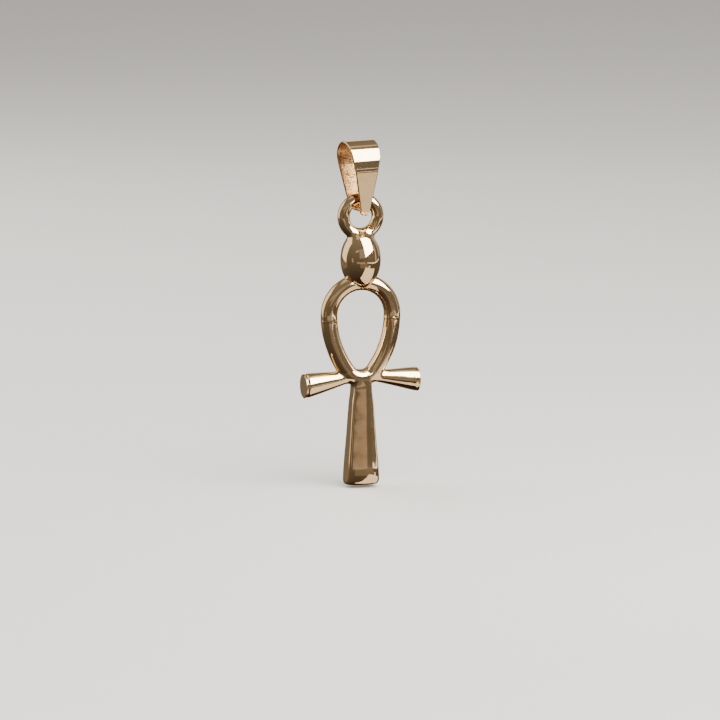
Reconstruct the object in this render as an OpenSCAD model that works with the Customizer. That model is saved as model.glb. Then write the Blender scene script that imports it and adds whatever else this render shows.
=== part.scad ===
/* [Bail] */
// Height of the folded bail, from the top of its roll to its tip
bail_h = 8.04; // [7.8:0.02:9.5]
// Depth across the roll of the bail, over the strip
bail_depth = 4.4; // [4.1:0.05:5]
// Straight stretch below the roll, down to the crease
crease_drop = 0.6; // [0.3:0.05:1]
// Width of the strip at the top of the roll
bail_top_w = 3.7; // [3.2:0.05:4.4]
// Width of the strip at its tip
bail_tip_w = 0.95; // [0.85:0.05:1.15]
// Thickness of the strip
strip_t = 0.25; // [0.2:0.01:0.3]
// Reach of the straight front leg's lower end in front of the ring's wire
front_reach = 1.5; // [1.4:0.05:1.7]
// Height of the back leg's end, which is soldered inside the front leg
lip_h = 0.55; // [0.45:0.05:0.8]
// How much shorter the front leg is than the back leg's end
end_step = 0.48; // [0.3:0.02:0.55]
// Turn of the bail on the ring as it hangs, in degrees
bail_turn = 9; // [0:1:11]

/* [Eye ring] */
// Diameter of the ring's wire
wire_d = 1.33; // [1.15:0.01:1.45]
// Diameter of the ring to the middle of its wire
ring_d = 3.88; // [3.8:0.02:4.4]
// Least clearance between the wire and the fold of the bail, over the whole swing
wire_play = 0.06; // [0.05:0.01:0.15]

/* [Bead] */
// Diameter of the bead
bead_d = 4.48; // [3.8:0.02:5.2]
// Height of the bead from end to end
bead_h = 6.5; // [5.8:0.05:7.4]
// How far the bead's upper end is sunk in the ring
bead_sunk = 1.2; // [0.9:0.05:1.25]

/* [Loop] */
// Width of the loop over its tube
loop_w = 9.12; // [8.2:0.02:10.4]
// Height of the loop over its tube
loop_h = 12.3; // [11.2:0.05:13.6]
// Diameter of the loop's tube
tube_d = 1.84; // [1.6:0.02:2.1]
// Radius of the loop's lower bend, to the middle of its tube
crotch_r = 1.85; // [1.5:0.05:2.2]
// How far the bead's lower end is sunk in the top of the loop
loop_sunk = 1.65; // [1.3:0.05:1.75]

/* [Arms] */
// Width over the two arms
arm_span = 13.1; // [11.6:0.1:15]
// Diameter of an arm at its outer end
arm_end_d = 2.76; // [2.3:0.02:3.2]
// Diameter of an arm at the middle of the cross
arm_root_d = 0.85; // [0.6:0.05:1.2]
// Droop of each arm's axis, which keeps the top edges level, in degrees
arm_droop = 8; // [4:0.5:10]
// Height of the arms' axes above the loop's lower bend, where they meet
arm_rise = 0.24; // [0.1:0.02:0.5]

/* [Stem] */
// Length of the stem below the loop's lower bend
stem_len = 11.95; // [10:0.05:14]
// Width of the stem at its top
stem_top_w = 2.05; // [1.7:0.05:2.4]
// Width of the stem at its foot
stem_foot_w = 3.95; // [3.2:0.05:4.8]
// Depth of the stem at its top
stem_top_d = 1.84; // [1.5:0.02:2.2]
// Depth of the stem at its foot
stem_foot_d = 2.95; // [2.3:0.05:3.5]
// Radius of the rounded edge round the foot
foot_r = 0.35; // [0.2:0.05:0.5]
// Squareness of the stem's section: 2 is an oval, and higher is boxier
stem_square = 3.5; // [2.5:0.1:5]

/* [Hidden] */
$fn = 64;

gold = [0.86, 0.72, 0.45];

// The origin is the inside of the bail's top, where the chain bears
roll_mid_r = (bail_depth - strip_t) / 2;
roll_z = strip_t - bail_depth / 2;
crease_z = roll_z - crease_drop;
tip_z = strip_t - bail_h;
toe_z = tip_z + lip_h;

// The strip's taper, and the round of its tip
taper = (bail_top_w - bail_tip_w) / (2 * bail_h);
taper_angle = atan(taper);
tip_r = bail_tip_w / 2 * cos(taper_angle) / (1 - sin(taper_angle));

// The front leg leans in by this much for each unit of height
front_lean = (roll_mid_r - front_reach) / (crease_z - tip_z - end_step);

// The back leg is bent under the wire, clear of how far in the edge of the ring's hole comes beside the strip
ring_r = ring_d / 2;
hole_r = ring_r - wire_d / 2;
fold_half_w = bail_tip_w / 2 + taper * (lip_h + wire_d);
function hole_reach(half_w) = ring_r - sqrt(hole_r * hole_r - half_w * half_w);
cradle_r = hole_reach(fold_half_w) + wire_play + strip_t / 2;
wire_z = toe_z + cradle_r;
ring_z = wire_z - ring_r;

// Level with the wire the leg stands further back, because its turn brings one edge nearer to the ring
turned_half_w = fold_half_w * cos(bail_turn) + hole_r * sin(bail_turn);
leg_room = hole_reach(turned_half_w) + wire_play + fold_half_w * sin(bail_turn);
cradle_y = leg_room / cos(bail_turn) + strip_t / 2 - cradle_r;

ring_bottom_z = ring_z - ring_r - wire_d / 2;
bead_z = ring_bottom_z + bead_sunk - bead_h / 2;

// The loop's middle line: a half circle over two long side arcs and a small lower bend
loop_top_z = bead_z - bead_h / 2 + loop_sunk;
loop_r = (loop_w - tube_d) / 2;
loop_z = loop_top_z - tube_d / 2 - loop_r;
loop_drop = loop_h - tube_d - loop_r;
side_r = (loop_r * loop_r + loop_drop * loop_drop - 2 * loop_drop * crotch_r) / (2 * (loop_r - crotch_r));
side_angle = atan2(loop_drop - crotch_r, side_r - loop_r);
bend_z = loop_z - loop_drop;

arm_z = bend_z + arm_rise;
arm_len = arm_span / 2 / cos(arm_droop);
foot_z = bend_z - stem_len;

SOLDER = 0.03;
TIP_STEPS = 10;
BEAD_STEPS = 28;
TUBE_SIDES = 20;
TOP_STEPS = 26;
SIDE_STEPS = 9;
BEND_STEPS = 9;
SECTION_POINTS = 48;
EDGE_STEPS = 4;

// A point of the front leg's middle line, and one as far inside it as the soldered end lies
function front_leg(z) = [-roll_mid_r + front_lean * (crease_z - z), z];
function inside_leg(z) = front_leg(z) + [strip_t - SOLDER, 0];

// A straight stretch of strip with round ends, in a side view of the bail
module bar(p, q) {
    run = q - p;
    translate(p) rotate(atan2(run[1], run[0])) translate([0, -strip_t / 2]) square([norm(run), strip_t]);
    for (end = [p, q]) translate(end) circle(d = strip_t);
}

// A bend of the strip round a middle, between two angles, in a side view of the bail
module bend(middle, mid_r, from, to) {
    translate(middle) rotate(from) intersection() {
        difference() {
            circle(r = mid_r + strip_t / 2);
            circle(r = mid_r - strip_t / 2);
        }
        polygon([
            [0, 0],
            for (i = [0:4]) 2 * mid_r * [cos((to - from) * i / 4), sin((to - from) * i / 4)],
        ]);
    }
}

// Side view of the folded strip: roll, straight front leg, and back leg bent under the wire
module bail_side() {
    cradle = [cradle_y, wire_z];
    crease = [roll_mid_r, crease_z];
    run = crease - cradle;
    heel_angle = atan2(run[1], run[0]) - acos(cradle_r / norm(run));
    bend([0, roll_z], roll_mid_r, 0, 180);
    bar([-roll_mid_r, roll_z], front_leg(crease_z));
    bar(front_leg(crease_z), front_leg(tip_z + end_step + strip_t / 2));
    bar([roll_mid_r, roll_z], crease);
    bar(crease, cradle + cradle_r * [cos(heel_angle), sin(heel_angle)]);
    bend(cradle, cradle_r, -90, heel_angle);
    bar([cradle_y, toe_z], inside_leg(toe_z));
    bar(inside_leg(toe_z), inside_leg(tip_z));
}

// The strip's outline from the front, which tapers to a round tip
module bail_front() {
    polygon([
        [-bail_top_w / 2, strip_t], [bail_top_w / 2, strip_t],
        for (i = [0:TIP_STEPS])
            let (a = -taper_angle - (180 - 2 * taper_angle) * i / TIP_STEPS)
            [tip_r * cos(a), tip_z + tip_r + tip_r * sin(a)],
    ]);
}

// Folded strip that carries the ring and takes the chain
module bail() {
    color(gold) rotate([0, 0, bail_turn]) intersection() {
        rotate([90, 0, 90]) linear_extrude(bail_top_w, center = true) bail_side();
        rotate([90, 0, 0]) linear_extrude(2 * bail_depth, center = true) bail_front();
    }
}

// Round wire ring that hangs in the bail
module eye_ring() {
    translate([0, 0, ring_z]) rotate([90, 0, 0]) rotate_extrude() translate([ring_r, 0]) circle(d = wire_d);
}

// Oval bead between the ring and the loop
module bead() {
    translate([0, 0, bead_z]) rotate_extrude() polygon([
        for (i = [0:BEAD_STEPS])
            let (a = 180 * i / BEAD_STEPS)
            [i % BEAD_STEPS == 0 ? 0 : bead_d / 2 * sin(a), bead_h / 2 * cos(a)]
    ]);
}

// Points round the loop's tube at one place: an angle on an arc of its middle line, from +X towards +Z
function tube_ring(x, z, bend_r, a) = [
    for (i = [0:TUBE_SIDES - 1])
        let (b = 360 * i / TUBE_SIDES, r = bend_r + tube_d / 2 * cos(b))
        [x + r * cos(a), tube_d / 2 * sin(b), z + r * sin(a)]
];

// The rings of one arc, without the ring that the next arc starts with
function arc_rings(x, z, bend_r, from, to, steps) = [
    for (i = [0:steps - 1]) tube_ring(x, z, bend_r, from + (to - from) * i / steps)
];

// Teardrop loop of round tube
module loop() {
    side_x = side_r - loop_r;
    rings = concat(
        arc_rings(0, loop_z, loop_r, 180, 0, TOP_STEPS),
        arc_rings(-side_x, loop_z, side_r, 0, -side_angle, SIDE_STEPS),
        arc_rings(0, bend_z + crotch_r, crotch_r, -side_angle, side_angle - 180, BEND_STEPS),
        arc_rings(side_x, loop_z, side_r, side_angle - 180, -180, SIDE_STEPS)
    );
    rows = len(rings);
    n = TUBE_SIDES;
    polyhedron(
        points = [for (ring = rings) each ring],
        faces = [for (k = [0:rows - 1], i = [0:n - 1])
            [k * n + i, k * n + (i + 1) % n, (k + 1) % rows * n + (i + 1) % n, (k + 1) % rows * n + i]]
    );
}

// The two flared round arms, cut off square at their ends
module arms() {
    reach = arm_len + arm_end_d * tan(arm_droop);
    reach_d = arm_root_d + (arm_end_d - arm_root_d) * reach / arm_len;
    intersection() {
        for (side = [0, 1]) mirror([side, 0, 0])
            translate([0, 0, arm_z]) rotate([0, 90 + arm_droop, 0])
                cylinder(h = reach, d1 = arm_root_d, d2 = reach_d);
        translate([0, 0, arm_z]) cube([arm_span, 2 * arm_end_d, arm_span], center = true);
    }
}

// Points of one section of the stem, a rounded box of the given half width and half depth
function section(z, half_w, half_d) = [
    for (i = [0:SECTION_POINTS - 1])
        let (a = 360 * i / SECTION_POINTS, c = cos(a), s = sin(a), n = 2 / stem_square)
        [half_w * sign(c) * pow(abs(c), n), half_d * sign(s) * pow(abs(s), n), z]
];

// Share of the stem's flare that is reached at a height
function flare(z) = (bend_z - z) / stem_len;
function stem_half_w(z) = (stem_top_w + (stem_foot_w - stem_top_w) * flare(z)) / 2;
function stem_half_d(z) = (stem_top_d + (stem_foot_d - stem_top_d) * flare(z)) / 2;

// Flared stem: a straight loft that ends in a rounded edge round the foot
module stem() {
    edge = [for (i = [0:EDGE_STEPS]) 90 * i / EDGE_STEPS];
    sections = concat(
        [section(bend_z, stem_top_w / 2, stem_top_d / 2)],
        [for (a = edge)
            let (z = foot_z + foot_r * (1 - sin(a)), inset = foot_r * (1 - cos(a)))
            section(z, stem_half_w(z) - inset, stem_half_d(z) - inset)]
    );
    rows = len(sections);
    n = SECTION_POINTS;
    polyhedron(
        points = [for (ring = sections) each ring],
        faces = concat(
            [[for (i = [n - 1:-1:0]) i]],
            [for (k = [0:rows - 2], i = [0:n - 1])
                [k * n + i, k * n + (i + 1) % n, (k + 1) * n + (i + 1) % n, (k + 1) * n + i]],
            [[for (i = [0:n - 1]) (rows - 1) * n + i]]
        )
    );
}

// The cast cross with its loop, bead and eye ring soldered into one solid
module ankh() {
    color(gold) union() {
        eye_ring();
        bead();
        loop();
        arms();
        stem();
    }
}

bail();
ankh();
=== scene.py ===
import math

import bmesh
import bpy
from mathutils import Matrix, Vector


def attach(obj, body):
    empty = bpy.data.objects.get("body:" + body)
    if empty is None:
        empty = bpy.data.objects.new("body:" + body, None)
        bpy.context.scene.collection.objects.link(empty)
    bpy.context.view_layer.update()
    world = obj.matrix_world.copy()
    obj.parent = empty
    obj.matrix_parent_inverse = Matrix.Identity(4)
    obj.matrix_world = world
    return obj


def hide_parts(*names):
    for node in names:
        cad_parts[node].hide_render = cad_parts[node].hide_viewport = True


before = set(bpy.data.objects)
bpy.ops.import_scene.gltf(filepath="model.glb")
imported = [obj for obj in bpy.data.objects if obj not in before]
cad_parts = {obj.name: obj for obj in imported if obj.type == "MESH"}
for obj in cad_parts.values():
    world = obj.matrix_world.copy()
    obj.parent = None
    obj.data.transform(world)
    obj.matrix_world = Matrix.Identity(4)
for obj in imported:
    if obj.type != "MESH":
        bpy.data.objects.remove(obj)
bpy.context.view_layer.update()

MM = 0.001

# Bail: a strip of 14 karat yellow gold sheet, sheared to a taper with round ends, rolled over a
# mandrel, creased, closed round the eye ring and soldered at the tip. It is polished outside and
# matte inside, and hangs a little turned, leaned and to the left on the ring.
BAIL_TURN = 7.0
BAIL_LEAN = -1.0
BAIL_SHIFT = -0.12
STRIP_T = 0.25
ROLL_R = 2.075
ROLL_Z = -1.95
CREASE_Z = -2.55
CREASE_R = 0.3
RIDGE_RISE = 0.005
RIDGE_HALF_W = 0.08
FRONT_END = (-1.5, -7.31)
SHOULDER = (-2.066, -2.95)
SHOULDER_R = 1.6
HEEL = (1.283, -7.24)
CRADLE_R = 1.129
TOE = (-1.288, -7.24)
TOE_R = 0.15
CURL = (-1.25, -7.57)
CURL_R = 0.28
TIP = (-1.5, -7.79)
ROLL_HALF_W = 1.79
ROLL_TAPER = 0.1
LEAF_HALF_W = 1.945
LEAF_TAPER = 0.186
TIP_R = 0.563
TIP_HALF_W = 0.05
EDGE_R = 0.08
END_TRIM = 0.03
PATH_STEP = 0.035
SAME_PLACE = 1e-5
# Points across the strip as shares of its flat half width, and points round each of its edges
ACROSS = (-1, -0.97, -0.75, -0.5, -0.25, 0, 0.25, 0.5, 0.75, 0.97, 1)
EDGE_POINTS = 3
EDGE_TURN = 30


def linear(hex_colour):
    """An sRGB hex colour as the linear RGBA that a shader socket takes."""
    channels = [int(hex_colour[i:i + 2], 16) / 255 for i in (1, 3, 5)]
    return [c / 12.92 if c <= 0.04045 else ((c + 0.055) / 1.055) ** 2.4 for c in channels] + [1.0]


def add(tree, kind, links=None, **settings):
    """Adds a node with its settings. A link is a node, a socket or a plain value, by input."""
    node = tree.nodes.new(kind)
    for key, value in settings.items():
        setattr(node, key, value)
    for socket, source in (links or {}).items():
        if isinstance(source, bpy.types.Node):
            source = next(out for out in source.outputs if out.enabled)
        if isinstance(source, bpy.types.NodeSocket):
            tree.links.new(source, node.inputs[socket])
        else:
            node.inputs[socket].default_value = source
    return node


# Width, length and depth in mm of the hairlines that buffing leaves, coarser than real ones so that
# they show
HAIR_W = 0.125
HAIR_LENGTH = 3.846
HAIR_DEPTH = 0.0007


def gold(name, colour, dark_colour, roughness, wave_mm, wave_height, grain_mm, grain_height):
    """Gold whose surface has a slow waviness of one size and a fine grain of another."""
    material = bpy.data.materials.new(name)
    material.use_nodes = True
    tree = material.node_tree
    tree.nodes.clear()
    place = add(tree, "ShaderNodeTexCoord").outputs["Object"]
    wave = add(tree, "ShaderNodeTexNoise", {"Vector": place, "Scale": 1 / (wave_mm * MM), "Detail": 2.0})
    grain = add(tree, "ShaderNodeTexNoise", {"Vector": place, "Scale": 1 / (grain_mm * MM), "Detail": 3.0})
    # The hairlines run down the piece, slightly aslant
    hair_place = add(tree, "ShaderNodeMapping", {
        "Vector": place, "Rotation": (0.06, 0.04, 0.0),
        "Scale": (1 / (HAIR_W * MM), 1 / (HAIR_W * MM), 1 / (HAIR_LENGTH * MM))})
    hair = add(tree, "ShaderNodeTexNoise", {"Vector": hair_place, "Scale": 1.0, "Detail": 1.0})
    tint = add(tree, "ShaderNodeValToRGB", {"Fac": wave.outputs[0]})
    tint.color_ramp.elements[0].position = 0.3
    tint.color_ramp.elements[0].color = linear(dark_colour)
    tint.color_ramp.elements[1].position = 0.6
    tint.color_ramp.elements[1].color = linear(colour)
    rough = add(tree, "ShaderNodeMapRange", {"Value": grain.outputs[0], "From Min": 0.3, "From Max": 0.7,
                                             "To Min": roughness * 0.75, "To Max": roughness * 1.35})
    slow = add(tree, "ShaderNodeBump", {"Height": wave.outputs[0], "Strength": 1.0,
                                        "Distance": wave_height * MM})
    fine = add(tree, "ShaderNodeBump", {"Height": grain.outputs[0], "Strength": 1.0,
                                        "Distance": grain_height * MM, "Normal": slow.outputs[0]})
    lines = add(tree, "ShaderNodeBump", {"Height": hair.outputs[0], "Strength": 1.0,
                                         "Distance": HAIR_DEPTH * MM, "Normal": fine.outputs[0]})
    shader = add(tree, "ShaderNodeBsdfPrincipled", {"Base Color": tint.outputs[0], "Metallic": 1.0,
                                                    "Roughness": rough.outputs[0],
                                                    "Normal": lines.outputs[0]})
    add(tree, "ShaderNodeOutputMaterial", {"Surface": shader.outputs[0]})
    return material


# Polished cast or rolled gold: a mirror with a slight orange peel left by the buffing wheel
polished_gold = gold("polished_14k_gold", "#F6DDB3", "#F1D3A4", 0.06, 1.6, 0.003, 0.25, 0.0004)
# The unpolished inside of the strip: pitted by rolling and pickling, so that it scatters light
pickled_gold = gold("pickled_14k_gold", "#CB9C68", "#5E3D20", 0.34, 0.2, 0.012, 0.09, 0.008)


def filleted(corners):
    """Points every PATH_STEP or so along straight runs joined by arcs. A corner is (y, z, radius)."""
    points = [Vector(corners[0][:2])]
    for before, corner, after in zip(corners, corners[1:], corners[2:]):
        apex = Vector(corner[:2])
        back = (Vector(before[:2]) - apex).normalized()
        onward = (Vector(after[:2]) - apex).normalized()
        half = math.acos(max(-1, min(1, back.dot(onward)))) / 2
        run = corner[2] / math.tan(half)
        middle = apex + (back + onward).normalized() * corner[2] / math.sin(half)
        start = apex + back * run - middle
        sweep = math.pi - 2 * half
        sign = 1 if back.x * onward.y - back.y * onward.x < 0 else -1
        steps = max(3, round(corner[2] * sweep / PATH_STEP))
        for i in range(steps + 1):
            turned = Matrix.Rotation(sign * sweep * i / steps, 2) @ start
            points.append(middle + turned)
    points.append(Vector(corners[-1][:2]))
    even = [points[0]]
    for p, q in zip(points, points[1:]):
        steps = max(1, round((q - p).length / PATH_STEP))
        even += [p.lerp(q, (i + 1) / steps) for i in range(steps)] if (q - p).length > SAME_PLACE else []
    return even


def strip_half_w(z):
    """Half the strip's width at a height, down to its round tip."""
    middle = TIP[1] + TIP_R
    down = STRIP_T - z
    straight = min(ROLL_HALF_W - ROLL_TAPER * down, LEAF_HALF_W - LEAF_TAPER * down)
    if z > middle - TIP_R * math.sin(math.atan(LEAF_TAPER)):
        return straight
    return max(math.sqrt(max(TIP_R ** 2 - (z - middle) ** 2, 0)), TIP_HALF_W)


def strip_section(half_w, half_t):
    """Points round the strip's section, each across it and out from its middle, outside first."""
    flat = half_w - EDGE_R
    drop = half_t - EDGE_R
    edges = []
    for sx, sy, start in ((1, drop, 60), (1, -drop, 0), (-1, -drop, -120), (-1, drop, 180)):
        angles = [math.radians(start - EDGE_TURN * i) for i in range(EDGE_POINTS)]
        edges.append([(sx * flat + EDGE_R * math.cos(a), sy + EDGE_R * math.sin(a)) for a in angles])
    outside = [(flat * share, half_t) for share in ACROSS]
    inside = [(flat * share, -half_t) for share in reversed(ACROSS)]
    return outside + edges[0] + edges[1] + inside + edges[2] + edges[3]


bail_path = filleted([
    (*FRONT_END, 0), (*SHOULDER, SHOULDER_R), (-ROLL_R, ROLL_Z + ROLL_R, ROLL_R),
    (ROLL_R, ROLL_Z + ROLL_R, ROLL_R), (ROLL_R, CREASE_Z, CREASE_R), (*HEEL, CRADLE_R),
    (*TOE, TOE_R), (*CURL, CURL_R), (*TIP, 0)])

bm = bmesh.new()
turn = Matrix.Rotation(math.radians(BAIL_TURN), 3, "Z")
lean = Matrix.Rotation(math.radians(BAIL_LEAN), 3, "Y")
hang = Vector((BAIL_SHIFT, 0, TIP[1]))
sections = []
last = len(bail_path) - 1
for i, (y, z) in enumerate(bail_path):
    ahead = bail_path[min(i + 1, last)]
    behind = bail_path[max(i - 1, 0)]
    tangent = (ahead - behind).normalized()
    out = Vector((-tangent.y, tangent.x))
    on_front = y < 0 and i < last / 2
    # A fine burnished ridge runs along the crease
    rise = RIDGE_RISE * math.exp(-((z - CREASE_Z) / RIDGE_HALF_W) ** 2) if on_front else 0
    trim = END_TRIM if i in (0, last) else 0
    section = []
    for u, v in strip_section(strip_half_w(z) - trim, STRIP_T / 2 - trim):
        v += rise if v > 0 else 0
        place = lean @ turn @ Vector((u, y + out.x * v, z + out.y * v - TIP[1])) + hang
        section.append(bm.verts.new(place * MM))
    sections.append(section)
count = len(sections[0])
first_inside = len(ACROSS) + 2 * EDGE_POINTS
inner_faces = range(first_inside, first_inside + len(ACROSS) - 1)
for section, following in zip(sections, sections[1:]):
    for k in range(count):
        beside = (k + 1) % count
        face = bm.faces.new((section[k], section[beside], following[beside], following[k]))
        face.material_index = 1 if k in inner_faces else 0
bm.faces.new(sections[0])
bm.faces.new(reversed(sections[-1]))
bmesh.ops.recalc_face_normals(bm, faces=bm.faces)
bail_mesh = bpy.data.meshes.new("bail_strip")
bm.to_mesh(bail_mesh)
bm.free()
bail_mesh.polygons.foreach_set("use_smooth", [True] * len(bail_mesh.polygons))
bail_mesh.set_sharp_from_angle(angle=math.radians(50))
bail_mesh.materials.append(polished_gold)
bail_mesh.materials.append(pickled_gold)
bail_strip = bpy.data.objects.new("bail_strip", bail_mesh)
bpy.context.collection.objects.link(bail_strip)
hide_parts("bail")
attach(bail_strip, "bail")

# Eye ring and bead: a ring of round 14 karat wire, butted and soldered on an oval bead of the same
# gold. The solder fills the corner between them, and both are polished as one piece.
RING_AND_BEAD = {
    "Ring Radius": 1.94, "Wire Radius": 0.665, "Ring Height": -8.0506,
    "Bead Half Width": 2.2, "Bead Half Height": 3.22, "Bead Height": -12.77, "Solder": 0.6,
    "Wave": 0.009,
}
BEAD_WAVES_PER_MM = 0.55
# How often a skin is fitted to its exact shape, and over how many mm the shape's slope is measured
FITTING_PASSES = 4
SLOPE_STEP = 0.03


def new_tree(name, sizes, course=None):
    """A geometry tree with an input for each size, after one for a course if named, and its inputs."""
    tree = bpy.data.node_groups.new(name, "GeometryNodeTree")
    if course:
        tree.interface.new_socket(course, in_out="INPUT", socket_type="NodeSocketGeometry")
    for size, value in sizes.items():
        kind = "NodeSocketVector" if isinstance(value, tuple) else "NodeSocketFloat"
        tree.interface.new_socket(size, in_out="INPUT", socket_type=kind).default_value = value
    return tree, tree.nodes.new("NodeGroupInput").outputs


def cast(name, shape, sizes, low, high, voxel, material):
    """Meshes the surface where shape's distance is nought, inside the box from low to high in mm."""
    tree, given = new_tree(name + "_casting", sizes)
    tree.interface.new_socket("Geometry", in_out="OUTPUT", socket_type="NodeSocketGeometry")

    def distance(nudge=(0, 0, 0)):
        node = tree.nodes.new("GeometryNodeGroup")
        node.node_tree = shape
        moved = add(tree, "ShaderNodeVectorMath", {0: place, 1: Vector(nudge) * MM})
        tree.links.new(moved.outputs[0], node.inputs["Place"])
        for size in sizes:
            tree.links.new(given[size], node.inputs[size])
        return node

    place = add(tree, "GeometryNodeInputPosition")
    density = add(tree, "ShaderNodeMath", {0: 0.5, 1: distance()}, operation="SUBTRACT")
    cells = [round((b - a) / voxel) for a, b in zip(low, high)]
    block = add(tree, "GeometryNodeVolumeCube", {
        "Density": density, "Min": Vector(low) * MM, "Max": Vector(high) * MM,
        "Resolution X": cells[0], "Resolution Y": cells[1], "Resolution Z": cells[2]})
    skin = add(tree, "GeometryNodeVolumeToMesh", {"Volume": block, "Threshold": 0.5})
    # Each pass moves the points along their normals onto the exact surface
    for _ in range(FITTING_PASSES):
        back = add(tree, "ShaderNodeMath", {0: distance(), 1: -MM}, operation="MULTIPLY")
        normal = add(tree, "GeometryNodeInputNormal")
        offset = add(tree, "ShaderNodeVectorMath", {0: normal.outputs[0], "Scale": back},
                     operation="SCALE")
        skin = add(tree, "GeometryNodeSetPosition", {"Geometry": skin, "Offset": offset})
    smooth = add(tree, "GeometryNodeSetShadeSmooth", {"Geometry": skin})
    # The reflections follow the exact surface, not the triangles
    here = distance()
    nudges = {"X": (SLOPE_STEP, 0, 0), "Y": (0, SLOPE_STEP, 0), "Z": (0, 0, SLOPE_STEP)}
    rises = {axis: add(tree, "ShaderNodeMath", {0: distance(nudge), 1: here}, operation="SUBTRACT")
             for axis, nudge in nudges.items()}
    slope = add(tree, "ShaderNodeCombineXYZ", rises)
    outward = add(tree, "ShaderNodeVectorMath", {0: slope}, operation="NORMALIZE")
    polished = add(tree, "GeometryNodeSetMeshNormal", mode="FREE", domain="POINT")
    tree.links.new(smooth.outputs[0], polished.inputs["Mesh"])
    tree.links.new(outward.outputs[0], polished.inputs["Custom Normal"])
    real = add(tree, "GeometryNodeRealizeInstances", {"Geometry": polished})
    dressed = add(tree, "GeometryNodeSetMaterial", {"Geometry": real, "Material": material})
    add(tree, "NodeGroupOutput", {"Geometry": dressed})

    piece = bpy.data.objects.new(name, bpy.data.meshes.new(name + "_blank"))
    bpy.context.collection.objects.link(piece)
    modifier = piece.modifiers.new("casting", "NODES")
    modifier.node_group = tree
    for item in tree.interface.items_tree:
        if item.in_out == "INPUT":
            modifier[item.identifier] = sizes[item.name]
    ready = piece.evaluated_get(bpy.context.evaluated_depsgraph_get())
    mesh = bpy.data.meshes.new_from_object(ready)
    mesh.name = name
    piece.modifiers.remove(modifier)
    piece.data = mesh
    return piece


def new_shape(name, sizes):
    """A tree for the distance in mm from a surface, its inputs, and a place in mm with its axes."""
    tree, given = new_tree(name, {"Place": (0, 0, 0), **sizes})
    tree.interface.new_socket("Distance", in_out="OUTPUT", socket_type="NodeSocketFloat")
    place = add(tree, "ShaderNodeVectorMath", {0: given["Place"], "Scale": 1 / MM}, operation="SCALE")
    return tree, given, place, add(tree, "ShaderNodeSeparateXYZ", {0: place}).outputs


def polish(tree, distance, place, waves_per_mm, height):
    """Gives a shape's surface the slow waviness that hand polishing leaves, and hands it out."""
    wave = add(tree, "ShaderNodeTexNoise", {"Vector": place, "Scale": waves_per_mm, "Detail": 1.0})
    centred = add(tree, "ShaderNodeMath", {0: wave.outputs[0], 1: 0.5}, operation="SUBTRACT")
    waved = add(tree, "ShaderNodeMath", {0: centred, 1: height, 2: distance},
                operation="MULTIPLY_ADD")
    add(tree, "NodeGroupOutput", {"Distance": waved})


shape, size, in_mm, axes = new_shape("ring_and_bead", RING_AND_BEAD)
ring_z = add(shape, "ShaderNodeMath", {0: axes["Z"], 1: size["Ring Height"]}, operation="SUBTRACT")
in_plane = add(shape, "ShaderNodeCombineXYZ", {"X": axes["X"], "Z": ring_z})
from_axis = add(shape, "ShaderNodeVectorMath", {0: in_plane}, operation="LENGTH")
from_mid = add(shape, "ShaderNodeMath", {0: from_axis, 1: size["Ring Radius"]}, operation="SUBTRACT")
to_wire = add(shape, "ShaderNodeCombineXYZ", {"X": from_mid, "Y": axes["Y"]})
wire = add(shape, "ShaderNodeVectorMath", {0: to_wire}, operation="LENGTH")
ring = add(shape, "ShaderNodeMath", {0: wire, 1: size["Wire Radius"]}, operation="SUBTRACT")
bead_z = add(shape, "ShaderNodeMath", {0: axes["Z"], 1: size["Bead Height"]}, operation="SUBTRACT")
in_bead = add(shape, "ShaderNodeCombineXYZ", {"X": axes["X"], "Y": axes["Y"], "Z": bead_z})
half = add(shape, "ShaderNodeCombineXYZ", {
    "X": size["Bead Half Width"], "Y": size["Bead Half Width"], "Z": size["Bead Half Height"]})
once = add(shape, "ShaderNodeVectorMath", {0: in_bead, 1: half}, operation="DIVIDE")
twice = add(shape, "ShaderNodeVectorMath", {0: once, 1: half}, operation="DIVIDE")
level = add(shape, "ShaderNodeVectorMath", {0: once}, operation="LENGTH")
slope = add(shape, "ShaderNodeVectorMath", {0: twice}, operation="LENGTH")
above = add(shape, "ShaderNodeMath", {0: level, 1: 1.0}, operation="SUBTRACT")
scaled = add(shape, "ShaderNodeMath", {0: above, 1: level}, operation="MULTIPLY")
bead = add(shape, "ShaderNodeMath", {0: scaled, 1: slope}, operation="DIVIDE")
soldered = add(shape, "ShaderNodeMath", {0: ring, 1: bead, 2: size["Solder"]},
               operation="SMOOTH_MIN")
polish(shape, soldered, in_mm, BEAD_WAVES_PER_MM, size["Wave"])

eye_ring_bead = cast("eye_ring_and_bead", shape, RING_AND_BEAD,
                     low=(-2.85, -2.5, -16.2), high=(2.85, 2.5, -5.2), voxel=0.065,
                     material=polished_gold)
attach(eye_ring_bead, "ankh")

# Cross: the loop, arms and stem are one casting in 14 karat yellow gold, soldered under the bead.
# The loop is a round tube on two long arcs, the arms flare to flat ends, and the stem flares to a
# rounded foot. The corners between them are filled by the casting and smoothed by the polishing.
CROSS = {
    "Loop Radius": 3.62, "Loop Height": -18.8656, "Side Radius": 10.197, "Side Angle": 36.9,
    "Bend Radius": 2.0, "Bend Height": -25.8056, "Tube Radius": 0.91, "Loop Shift": 0.04,
    "Arm Height": -25.51, "Left Droop": 8.0, "Right Droop": 7.0, "Arm Reach": 6.57,
    "Arm Edge": 0.14, "Plug Joint": 6.3, "Left Groove": 0.13, "Right Groove": 0.02,
    "Left Seam": -19.55, "Right Seam": -19.44, "Seam": 0.035, "Stem Shift": 0.06, "Stem Top": -25.4,
    "Side Rounding": 0.58, "Front Slant": 0.12, "Front Bulge": 0.08, "Foot Height": -37.68,
    "Foot Edge": 0.6, "Worn Corner": 0.3, "Corner Fill": 0.75, "Crotch Fill": 0.5, "Wave": 0.012,
}
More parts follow.
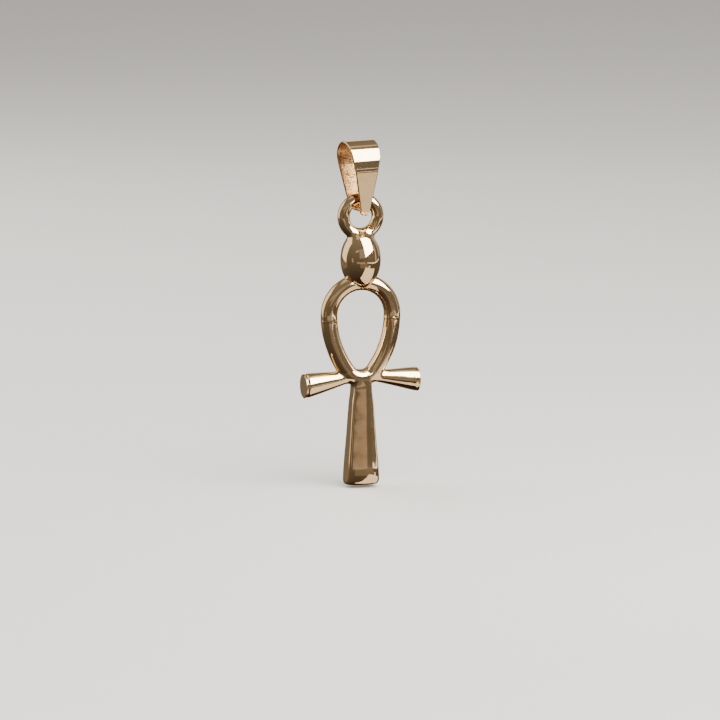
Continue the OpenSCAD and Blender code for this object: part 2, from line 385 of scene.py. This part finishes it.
# Heights in mm from the loop's middle, where its lean to the right starts, is full and ends
LEAN_START = -0.5
LEAN_FULL = -3.8
LEAN_END = -6.2
# Half width of the loop's seams and how far they stray upwards, in mm, and their rags to a mm
SEAM_HALF_W = 0.09
SEAM_WANDER = 0.35
RAGS_PER_MM = 2.4
GROOVE_HALF_W = 0.1
STEM_TOP_EDGE = 0.3
# Where across the foot its wear begins and is full
WEAR_START = -0.6
WEAR_FULL = 1.7
CROSS_WAVES_PER_MM = 0.5
# Radius of the arms along the cross, in mm, from the left end to the right end
ARM_PROFILE = [
    (-6.55, 1.33), (-6.2, 1.335), (-5.75, 1.29), (-5.0, 1.19), (-4.0, 1.045), (-3.0, 0.885),
    (-1.5, 0.64), (0, 0.42), (1.5, 0.6), (3.0, 0.8), (4.0, 0.955), (5.0, 1.12), (5.75, 1.235),
    (6.1, 1.29), (6.35, 1.31), (6.55, 1.315),
]
ARM_SPAN = 14.0
# Half width and half depth of the stem, in mm, by its distance below the loop's bend
STEM_WIDTH = [(0, 1.0), (1.5, 1.05), (2.8, 1.21), (4, 1.305), (7, 1.52), (10.3, 1.785), (11.95, 1.91)]
STEM_DEPTH = [
    (0, 0.8), (0.2, 0.844), (0.4, 0.905), (0.6, 0.943), (0.8, 0.962), (1.5, 0.995), (4, 1.1), (8, 1.3),
    (9.6, 1.385), (10.15, 1.398), (10.5, 1.39), (10.85, 1.36), (11.15, 1.313), (11.45, 1.24),
    (11.65, 1.167), (11.8, 1.085), (11.95, 0.86),
]
STEM_RUN = 14.0
CURVE_TOP = 2.5

shape, size, in_mm, axes = new_shape("cross", CROSS)


def profile(factor, points, run):
    """A size that follows points along a run, from its curve at factor."""
    curve = add(shape, "ShaderNodeFloatCurve", {"Value": factor})
    line = curve.mapping.curves[0]
    while len(line.points) < len(points):
        line.points.new(0.5, 0.5)
    for point, (at, value) in zip(line.points, points):
        point.location = (at / run, value / CURVE_TOP)
        point.handle_type = "AUTO"
    curve.mapping.update()
    return add(shape, "ShaderNodeMath", {0: curve, 1: CURVE_TOP}, operation="MULTIPLY")


# The loop's lower half leans a little to the right, as the photo shows
below = add(shape, "ShaderNodeMath", {0: axes["Z"], 1: size["Loop Height"]}, operation="SUBTRACT")
dip = add(shape, "ShaderNodeMapRange", {"Value": below, "From Min": LEAN_START, "From Max": LEAN_FULL,
                                        "To Min": 0.0, "To Max": 1.0}, interpolation_type="SMOOTHSTEP")
undip = add(shape, "ShaderNodeMapRange", {"Value": below, "From Min": LEAN_FULL, "From Max": LEAN_END,
                                          "To Min": 1.0, "To Max": 0.0},
            interpolation_type="SMOOTHSTEP")
leaning = add(shape, "ShaderNodeMath", {0: dip, 1: undip}, operation="MULTIPLY")
shift = add(shape, "ShaderNodeMath", {0: leaning, 1: size["Loop Shift"]}, operation="MULTIPLY")
x_loop = add(shape, "ShaderNodeMath", {0: axes["X"], 1: shift}, operation="SUBTRACT")
x_abs = add(shape, "ShaderNodeMath", {0: x_loop}, operation="ABSOLUTE")
top_at = add(shape, "ShaderNodeCombineXYZ", {"X": x_abs, "Y": below})
top_from = add(shape, "ShaderNodeVectorMath", {0: top_at}, operation="LENGTH")
top = add(shape, "ShaderNodeMath", {0: top_from, 1: size["Loop Radius"]}, operation="SUBTRACT")
side_off = add(shape, "ShaderNodeMath", {0: size["Side Radius"], 1: size["Loop Radius"]},
               operation="SUBTRACT")
side_x = add(shape, "ShaderNodeMath", {0: x_abs, 1: side_off}, operation="ADD")
side_at = add(shape, "ShaderNodeCombineXYZ", {"X": side_x, "Y": below})
side_from = add(shape, "ShaderNodeVectorMath", {0: side_at}, operation="LENGTH")
side = add(shape, "ShaderNodeMath", {0: side_from, 1: size["Side Radius"]}, operation="SUBTRACT")
bend_mid = add(shape, "ShaderNodeMath", {0: size["Bend Height"], 1: size["Bend Radius"]},
               operation="ADD")
bend_z = add(shape, "ShaderNodeMath", {0: axes["Z"], 1: bend_mid}, operation="SUBTRACT")
bend_at = add(shape, "ShaderNodeCombineXYZ", {"X": x_abs, "Y": bend_z})
bend_from = add(shape, "ShaderNodeVectorMath", {0: bend_at}, operation="LENGTH")
bend = add(shape, "ShaderNodeMath", {0: bend_from, 1: size["Bend Radius"]}, operation="SUBTRACT")
# Which arc a place belongs to: above the middle, beside it, or below the side arc's end
angle = add(shape, "ShaderNodeMath", {0: size["Side Angle"]}, operation="RADIANS")
sine = add(shape, "ShaderNodeMath", {0: angle}, operation="SINE")
cosine = add(shape, "ShaderNodeMath", {0: angle}, operation="COSINE")
along = add(shape, "ShaderNodeMath", {0: side_x, 1: sine}, operation="MULTIPLY")
past = add(shape, "ShaderNodeMath", {0: below, 1: cosine, 2: along}, operation="MULTIPLY_ADD")
is_bend = add(shape, "ShaderNodeMath", {0: past, 1: 0.0}, operation="LESS_THAN")
is_top = add(shape, "ShaderNodeMath", {0: below, 1: 0.0}, operation="GREATER_THAN")
lower = add(shape, "ShaderNodeMix", {0: is_bend, 2: side, 3: bend}, data_type="FLOAT")
line = add(shape, "ShaderNodeMix", {0: is_top, 2: lower, 3: top}, data_type="FLOAT")
tube_at = add(shape, "ShaderNodeCombineXYZ", {"X": line.outputs[0], "Y": axes["Y"]})
tube_from = add(shape, "ShaderNodeVectorMath", {0: tube_at}, operation="LENGTH")
tube = add(shape, "ShaderNodeMath", {0: tube_from, 1: size["Tube Radius"]}, operation="SUBTRACT")


def bell(place, middle, half_width):
    """One at the middle, fading to nought on both sides."""
    off = add(shape, "ShaderNodeMath", {0: place, 1: middle}, operation="SUBTRACT")
    share = add(shape, "ShaderNodeMath", {0: off, 1: half_width}, operation="DIVIDE")
    squared = add(shape, "ShaderNodeMath", {0: share, 1: share}, operation="MULTIPLY")
    minus = add(shape, "ShaderNodeMath", {0: squared, 1: -1.0}, operation="MULTIPLY")
    return add(shape, "ShaderNodeMath", {0: minus}, operation="EXPONENT")


# A ragged seam runs round the tube at half height on both sides
is_right = add(shape, "ShaderNodeMath", {0: axes["X"], 1: 0.0}, operation="GREATER_THAN")
seam_z = add(shape, "ShaderNodeMix", {0: is_right, 2: size["Left Seam"], 3: size["Right Seam"]},
             data_type="FLOAT")
ragged = add(shape, "ShaderNodeTexNoise", {"Vector": in_mm, "Scale": RAGS_PER_MM, "Detail": 1.0})
wander = add(shape, "ShaderNodeMath", {0: ragged.outputs[0], 1: SEAM_WANDER, 2: seam_z},
             operation="MULTIPLY_ADD")
seam = add(shape, "ShaderNodeMath", {0: bell(axes["Z"], wander, SEAM_HALF_W), 1: ragged.outputs[0]},
           operation="MULTIPLY")
raised = add(shape, "ShaderNodeMath", {0: seam, 1: size["Seam"]}, operation="MULTIPLY")
loop = add(shape, "ShaderNodeMath", {0: tube, 1: raised}, operation="SUBTRACT")

# The arms' middle line droops to both sides
x_out = add(shape, "ShaderNodeMath", {0: axes["X"]}, operation="ABSOLUTE")
sag = add(shape, "ShaderNodeMix", {0: is_right, 2: size["Left Droop"], 3: size["Right Droop"]},
          data_type="FLOAT")
droop_angle = add(shape, "ShaderNodeMath", {0: sag}, operation="RADIANS")
droop = add(shape, "ShaderNodeMath", {0: droop_angle}, operation="TANGENT")
square_on = add(shape, "ShaderNodeMath", {0: droop_angle}, operation="COSINE")
up = add(shape, "ShaderNodeMath", {0: axes["Z"], 1: size["Arm Height"]}, operation="SUBTRACT")
off_line = add(shape, "ShaderNodeMath", {0: x_out, 1: droop, 2: up}, operation="MULTIPLY_ADD")
arm_z = add(shape, "ShaderNodeMath", {0: off_line, 1: square_on}, operation="MULTIPLY")
arm_at = add(shape, "ShaderNodeCombineXYZ", {"X": arm_z, "Y": axes["Y"]})
arm_from = add(shape, "ShaderNodeVectorMath", {0: arm_at}, operation="LENGTH")
arm_share = add(shape, "ShaderNodeMath", {0: axes["X"], 1: 1 / ARM_SPAN, 2: 0.5},
                operation="MULTIPLY_ADD")
arm_r = profile(arm_share, [(x + ARM_SPAN / 2, r) for x, r in ARM_PROFILE], ARM_SPAN)
arm_skin = add(shape, "ShaderNodeMath", {0: arm_from, 1: arm_r}, operation="SUBTRACT")
# A fine joint shows where a plug closes the arm's end
groove = add(shape, "ShaderNodeMix", {0: is_right, 2: size["Left Groove"], 3: size["Right Groove"]},
             data_type="FLOAT")
at_plug = bell(x_out, size["Plug Joint"], GROOVE_HALF_W)
arm_side = add(shape, "ShaderNodeMath", {0: at_plug, 1: groove, 2: arm_skin},
               operation="MULTIPLY_ADD")
arm_end = add(shape, "ShaderNodeMath", {0: x_out, 1: size["Arm Reach"]}, operation="SUBTRACT")
arms = add(shape, "ShaderNodeMath", {0: arm_side, 1: arm_end, 2: size["Arm Edge"]},
           operation="SMOOTH_MAX")

# The stem's section is a rounded box that grows towards the foot, with a bulged and slanted front
drop = add(shape, "ShaderNodeMath", {0: size["Bend Height"], 1: axes["Z"]}, operation="SUBTRACT")
drop_share = add(shape, "ShaderNodeMath", {0: drop, 1: STEM_RUN}, operation="DIVIDE")
half_w = profile(drop_share, STEM_WIDTH, STEM_RUN)
half_d = profile(drop_share, STEM_DEPTH, STEM_RUN)
stem_x = add(shape, "ShaderNodeMath", {0: axes["X"], 1: size["Stem Shift"]}, operation="SUBTRACT")
stem_out = add(shape, "ShaderNodeMath", {0: stem_x}, operation="ABSOLUTE")
flank = add(shape, "ShaderNodeMath", {0: stem_out, 1: half_w}, operation="SUBTRACT")
arched = add(shape, "ShaderNodeMath", {0: stem_x, 1: size["Front Bulge"]}, operation="MULTIPLY")
lift = add(shape, "ShaderNodeMath", {0: arched, 1: size["Front Slant"]}, operation="SUBTRACT")
receding = add(shape, "ShaderNodeMath", {0: lift, 1: stem_x}, operation="MULTIPLY")
in_front = add(shape, "ShaderNodeMath", {0: receding, 1: axes["Y"]}, operation="SUBTRACT")
thick = add(shape, "ShaderNodeMath", {0: in_front, 1: axes["Y"]}, operation="MAXIMUM")
face_off = add(shape, "ShaderNodeMath", {0: thick, 1: half_d}, operation="SUBTRACT")
rounding = add(shape, "ShaderNodeMath", {0: half_w, 1: size["Side Rounding"]}, operation="MULTIPLY")
stem_side = add(shape, "ShaderNodeMath", {0: flank, 1: face_off, 2: rounding}, operation="SMOOTH_MAX")
stem_over = add(shape, "ShaderNodeMath", {0: axes["Z"], 1: size["Stem Top"]}, operation="SUBTRACT")
stem_below = add(shape, "ShaderNodeMath", {0: size["Foot Height"], 1: axes["Z"]},
                 operation="SUBTRACT")
capped = add(shape, "ShaderNodeMath", {0: stem_side, 1: stem_over, 2: STEM_TOP_EDGE},
             operation="SMOOTH_MAX")
# Polishing has worn the foot more to the right
to_right = add(shape, "ShaderNodeMapRange", {
    "Value": axes["X"], "From Min": WEAR_START, "From Max": WEAR_FULL,
    "To Min": 0.0, "To Max": 1.0}, interpolation_type="SMOOTHSTEP")
foot_edge = add(shape, "ShaderNodeMath", {0: to_right, 1: size["Worn Corner"], 2: size["Foot Edge"]},
                operation="MULTIPLY_ADD")
stem = add(shape, "ShaderNodeMath", {0: capped, 1: stem_below, 2: foot_edge},
           operation="SMOOTH_MAX")

tee = add(shape, "ShaderNodeMath", {0: arms, 1: stem, 2: size["Corner Fill"]},
          operation="SMOOTH_MIN")
joined = add(shape, "ShaderNodeMath", {0: tee, 1: loop, 2: size["Crotch Fill"]},
             operation="SMOOTH_MIN")
polish(shape, joined, in_mm, CROSS_WAVES_PER_MM, size["Wave"])

cross = cast("loop_arms_and_stem", shape, CROSS,
             low=(-6.8, -1.8, -37.9), high=(6.8, 1.8, -14.1), voxel=0.075, material=polished_gold)
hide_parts("ankh")
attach(cross, "ankh")

# Solder seam: 14 karat solder that ran round the joint of the bead and the loop and was only lightly
# cleaned. Its thickness varies along the joint, and it stands a little proud of both.
SOLDER_RUN = {"Thinnest": 0.0, "Thickest": 0.07, "Lump Length": 0.55}
LOOP_R = CROSS["Loop Radius"]
LOOP_Z = CROSS["Loop Height"]
TUBE_R = CROSS["Tube Radius"]
BEAD_W = RING_AND_BEAD["Bead Half Width"]
BEAD_H = RING_AND_BEAD["Bead Half Height"]
BEAD_MID = RING_AND_BEAD["Bead Height"]
SEAM_POINTS = 160
HALVINGS = 40


def joint(turned):
    """Where the bead's skin at an angle round its axis meets the loop's tube, in mm."""
    low, high = BEAD_MID - BEAD_H, BEAD_MID
    for _ in range(HALVINGS):
        z = (low + high) / 2
        reach = BEAD_W * math.sqrt(max(1 - ((z - BEAD_MID) / BEAD_H) ** 2, 0))
        x = reach * math.cos(turned)
        y = reach * math.sin(turned)
        inside = math.hypot(math.hypot(x, z - LOOP_Z) - LOOP_R, y) < TUBE_R
        low, high = (z, high) if inside else (low, z)
    return Vector((x, y, z))


seam_path = bpy.data.meshes.new("seam_path")
seam_path.from_pydata([joint(2 * math.pi * k / SEAM_POINTS) * MM for k in range(SEAM_POINTS)],
                      [(k, (k + 1) % SEAM_POINTS) for k in range(SEAM_POINTS)], [])
seam_tree, given = new_tree("solder_run", SOLDER_RUN, course="Path")
seam_tree.interface.new_socket("Geometry", in_out="OUTPUT", socket_type="NodeSocketGeometry")
course = add(seam_tree, "GeometryNodeMeshToCurve", {"Mesh": given["Path"]})
lump = add(seam_tree, "ShaderNodeMath", {0: given["Lump Length"], 1: MM}, operation="MULTIPLY")
often = add(seam_tree, "ShaderNodeMath", {0: 1.0, 1: lump}, operation="DIVIDE")
lumps = add(seam_tree, "ShaderNodeTexNoise", {"Vector": add(seam_tree, "GeometryNodeInputPosition"),
                                              "Scale": often, "Detail": 2.0})
girth = add(seam_tree, "ShaderNodeMapRange", {
    "Value": lumps.outputs[0], "From Min": 0.35, "From Max": 0.7,
    "To Min": given["Thinnest"], "To Max": given["Thickest"]})
round_section = add(seam_tree, "GeometryNodeCurvePrimitiveCircle", {"Resolution": 10, "Radius": MM})
swept = add(seam_tree, "GeometryNodeCurveToMesh", {"Curve": course, "Profile Curve": round_section,
                                                  "Scale": girth})
smooth = add(seam_tree, "GeometryNodeSetShadeSmooth", {"Geometry": swept})
real = add(seam_tree, "GeometryNodeRealizeInstances", {"Geometry": smooth})
dressed = add(seam_tree, "GeometryNodeSetMaterial", {"Geometry": real, "Material": polished_gold})
add(seam_tree, "NodeGroupOutput", {"Geometry": dressed})
solder_seam = bpy.data.objects.new("solder_seam", seam_path)
bpy.context.collection.objects.link(solder_seam)
modifier = solder_seam.modifiers.new("solder", "NODES")
modifier.node_group = seam_tree
for item in seam_tree.interface.items_tree:
    if item.in_out == "INPUT" and item.name in SOLDER_RUN:
        modifier[item.identifier] = SOLDER_RUN[item.name]
ready = solder_seam.evaluated_get(bpy.context.evaluated_depsgraph_get())
seam_mesh = bpy.data.meshes.new_from_object(ready)
seam_mesh.name = "solder_seam"
solder_seam.modifiers.remove(modifier)
solder_seam.data = seam_mesh
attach(solder_seam, "ankh")

# Studio: a pale matte card as a table just under the foot, and two soft boxes that light it. Other
# boxes and cards show only in the metal, and the table and the pale room don't, which gives the gold
# its white faces and dark bands.
TABLE_Z = -37.95
NEAR_R = 115.0
FAR_R = 3000.0
TABLE_SIDES = 96
# The room as the metal sees it, from straight down at 0 to straight up at 1
ROOM_TONES = [
    (0.0, "#2C221A"), (0.15, "#1E1712"), (0.27, "#0B0908"), (0.38, "#221E1B"), (0.55, "#292522"),
    (0.69, "#2E2A27"), (0.78, "#383939"), (0.84, "#505558"), (0.9, "#7C7C78"), (1.0, "#8C8274"),
]


def paper(name, colour):
    """Matte card for the table."""
    material = bpy.data.materials.new(name)
    material.use_nodes = True
    tree = material.node_tree
    tree.nodes.clear()
    shader = add(tree, "ShaderNodeBsdfPrincipled", {"Base Color": linear(colour), "Roughness": 0.6})
    add(tree, "ShaderNodeOutputMaterial", {"Surface": shader.outputs[0]})
    return material


table_card = paper("pale_card", "#D8D5D0")
for name, radii in (("table_near", (NEAR_R,)), ("table_far", (NEAR_R, FAR_R))):
    bm = bmesh.new()
    rims = []
    for radius in radii:
        bearings = [2 * math.pi * k / TABLE_SIDES for k in range(TABLE_SIDES)]
        rims.append([bm.verts.new(Vector((radius * math.cos(bearing), radius * math.sin(bearing),
                                          TABLE_Z)) * MM) for bearing in bearings])
    if len(rims) == 1:
        bm.faces.new(rims[0])
    else:
        for k in range(TABLE_SIDES):
            beside = (k + 1) % TABLE_SIDES
            bm.faces.new((rims[0][k], rims[1][k], rims[1][beside], rims[0][beside]))
    table_mesh = bpy.data.meshes.new(name)
    bm.to_mesh(table_mesh)
    bm.free()
    table_mesh.materials.append(table_card)
    table = bpy.data.objects.new(name, table_mesh)
    bpy.context.collection.objects.link(table)
    table.visible_glossy = False
    table.visible_shadow = False

world = bpy.data.worlds.new("studio")
bpy.context.scene.world = world
world.use_nodes = True
world.node_tree.nodes.clear()
tree = world.node_tree
ray = add(tree, "ShaderNodeLightPath")
room = add(tree, "ShaderNodeBackground", {"Color": linear("#EDEBE8"), "Strength": 0.9})
looking = add(tree, "ShaderNodeTexCoord").outputs["Generated"]
steepness = add(tree, "ShaderNodeSeparateXYZ", {0: looking}).outputs["Z"]
from_floor = add(tree, "ShaderNodeMapRange", {"Value": steepness, "From Min": -1.0})
dark_room = add(tree, "ShaderNodeValToRGB", {"Fac": from_floor})
ramp = dark_room.color_ramp
for at, colour in ROOM_TONES:
    stop = ramp.elements[0] if at == 0 else ramp.elements[1] if at == 1 else ramp.elements.new(at)
    stop.position = at
    stop.color = linear(colour)
dim = add(tree, "ShaderNodeBackground", {"Color": dark_room, "Strength": 1.0})
seen = add(tree, "ShaderNodeMixShader", {0: ray.outputs["Is Glossy Ray"],
                                         1: room.outputs[0], 2: dim.outputs[0]})
add(tree, "ShaderNodeOutputWorld", {"Surface": seen.outputs[0]})

CAMERA_AZIMUTH = math.radians(-18.5)
CAMERA_HEIGHT = math.radians(9.5)
BEAD_Z = -12.7
LIGHT_AWAY = 320.0
KEY_AWAY = 85.0
OVAL_CARDS = ("low_spot", "high_spot", "stem_card")
# Each lamp by its azimuth to the right of the camera and its elevation, both from the bead, its half
# width, half height, turn and tilt, all in degrees, and then its brightness and colour
TABLE_LAMPS = [
    ("table_key", 40, 42, 30, 30, 0, 0, 8.2, "#FFFDFA"),
    ("table_fill", -120, 40, 30, 30, 0, 0, 3.4, "#FFFDFA"),
]
METAL_LAMPS = [
    ("key_box", 73.0, 36.4, 33, 24.2, 47.6, 17.6, 14.0, "#FFFFFD"),
    ("left_box", -105, 20, 22, 27, 0, 12, 1.5, "#FFEDD4"),
    ("left_low", -108, -14, 24, 6, 0, 0, 0.1, "#FFE6D4"),
    ("left_fade", -146, 0, 14, 14, 0, 0, 0.075, "#F8EBE0"),
    ("key_below", 63, -49, 31, 25, 0, 0, 1.4, "#FFECDA"),
    ("leaf_card", 55, -21, 6, 4, 0, 0, 0.92, "#FFECDA"),
    ("table_line", 85, -10.5, 43, 0.9, 0, -3, 2.0, "#FFF0E6"),
    ("low_line", 4, -10.5, 24, 2.6, 0, 0, 0.28, "#FFE0CC"),
    ("low_mid", 22, -18, 22, 7, 0, 0, 0.11, "#FFE8D2"),
    ("gap_card", 68, -2, 28, 8, 0, 0, 0.04, "#F4ECE8"),
    ("front_card", 12, 15, 16.5, 13, 0, 0, 0.19, "#FFF0E2"),
    ("low_spot", -45, -4, 5, 6, 0, 0, 0.32, "#FFD8C6"),
    ("high_spot", -19, 21, 11, 3, 0, -12, 0.42, "#F8EAE2"),
    ("stem_card", 30, -7, 12, 8, 0, 0, 0.025, "#FFECDC"),
    ("right_card", 99, 8, 4, 15, 0, 0, 0.62, "#FAF0EA"),
    ("far_card", 138, 12, 13, 16, 0, 0, 0.32, "#F8F2F0"),
    ("ceiling", 0, 88, 22, 20, 0, 0, 0.5, "#F8E8D4"),
    ("back_box", 178, 14, 26, 12, 0, 0, 0.9, "#FFF4E6"),
]


def set_up(name, azimuth, rise, half_az, half_el, turned, tilt, bright, colour, for_metal):
    """Hangs a lamp that faces the bead, and either shows in the metal alone or lights the table."""
    away = KEY_AWAY if name == "key_box" else LIGHT_AWAY
    light = bpy.data.lights.new(name, "AREA")
    light.shape = "ELLIPSE" if name in OVAL_CARDS else "RECTANGLE"
    light.size = 2 * away * math.tan(math.radians(half_az)) * MM
    light.size_y = 2 * away * math.tan(math.radians(half_el)) * MM
    light.energy = bright * math.pi * light.size * light.size_y
    light.energy *= math.pi / 4 if light.shape == "ELLIPSE" else 1
    light.color = linear(colour)[:3]
    lamp = bpy.data.objects.new(name, light)
    bearing = CAMERA_AZIMUTH + math.radians(azimuth)
    elevation = math.radians(rise)
    toward = Vector((math.sin(bearing) * math.cos(elevation), -math.cos(bearing) * math.cos(elevation),
                     math.sin(elevation)))
    lamp.location = (Vector((0, 0, BEAD_Z)) + toward * away) * MM
    level = Vector((math.cos(bearing), math.sin(bearing), 0))
    steep = level.cross(toward)
    tilt_angle = math.radians(tilt)
    turn_angle = math.radians(turned)
    wide = level * math.cos(tilt_angle) + steep * math.sin(tilt_angle)
    tall = steep * math.cos(tilt_angle) - level * math.sin(tilt_angle)
    wide = -wide * math.cos(turn_angle) - toward * math.sin(turn_angle)
    lamp.rotation_euler = Matrix((wide, tall, wide.cross(tall))).transposed().to_euler()
    lamp.visible_camera = False
    lamp.visible_glossy = for_metal
    lamp.visible_diffuse = not for_metal
    bpy.context.collection.objects.link(lamp)


for row in METAL_LAMPS:
    set_up(*row, for_metal=True)
for row in TABLE_LAMPS:
    set_up(*row, for_metal=False)

# Camera: at the photo's angle, far off with a narrow view, so that the pendant keeps its shape
CAMERA_DISTANCE = 450.0
MM_PER_PIXEL = 0.109
HALF_FRAME = 360
# The view's middle is this far below and to the left of the pendant's, in mm, as in the photo
DROP = 5.116
SIDESTEP = 0.055
MIDDLE_Z = -18.69
forward = Vector((-math.sin(CAMERA_AZIMUTH) * math.cos(CAMERA_HEIGHT),
                  math.cos(CAMERA_AZIMUTH) * math.cos(CAMERA_HEIGHT), -math.sin(CAMERA_HEIGHT)))
right = Vector((math.cos(CAMERA_AZIMUTH), math.sin(CAMERA_AZIMUTH), 0))
upward = right.cross(forward)
camera_data = bpy.data.cameras.new("camera")
camera_data.sensor_fit = "HORIZONTAL"
camera_data.angle = 2 * math.atan(HALF_FRAME * MM_PER_PIXEL / CAMERA_DISTANCE)
camera_data.clip_start = 0.01
camera = bpy.data.objects.new("camera", camera_data)
camera.location = (Vector((0, 0, MIDDLE_Z)) - forward * CAMERA_DISTANCE - upward * DROP
                   - right * SIDESTEP) * MM
camera.rotation_euler = Matrix((right, upward, -forward)).transposed().to_euler()
bpy.context.collection.objects.link(camera)
bpy.context.scene.camera = camera
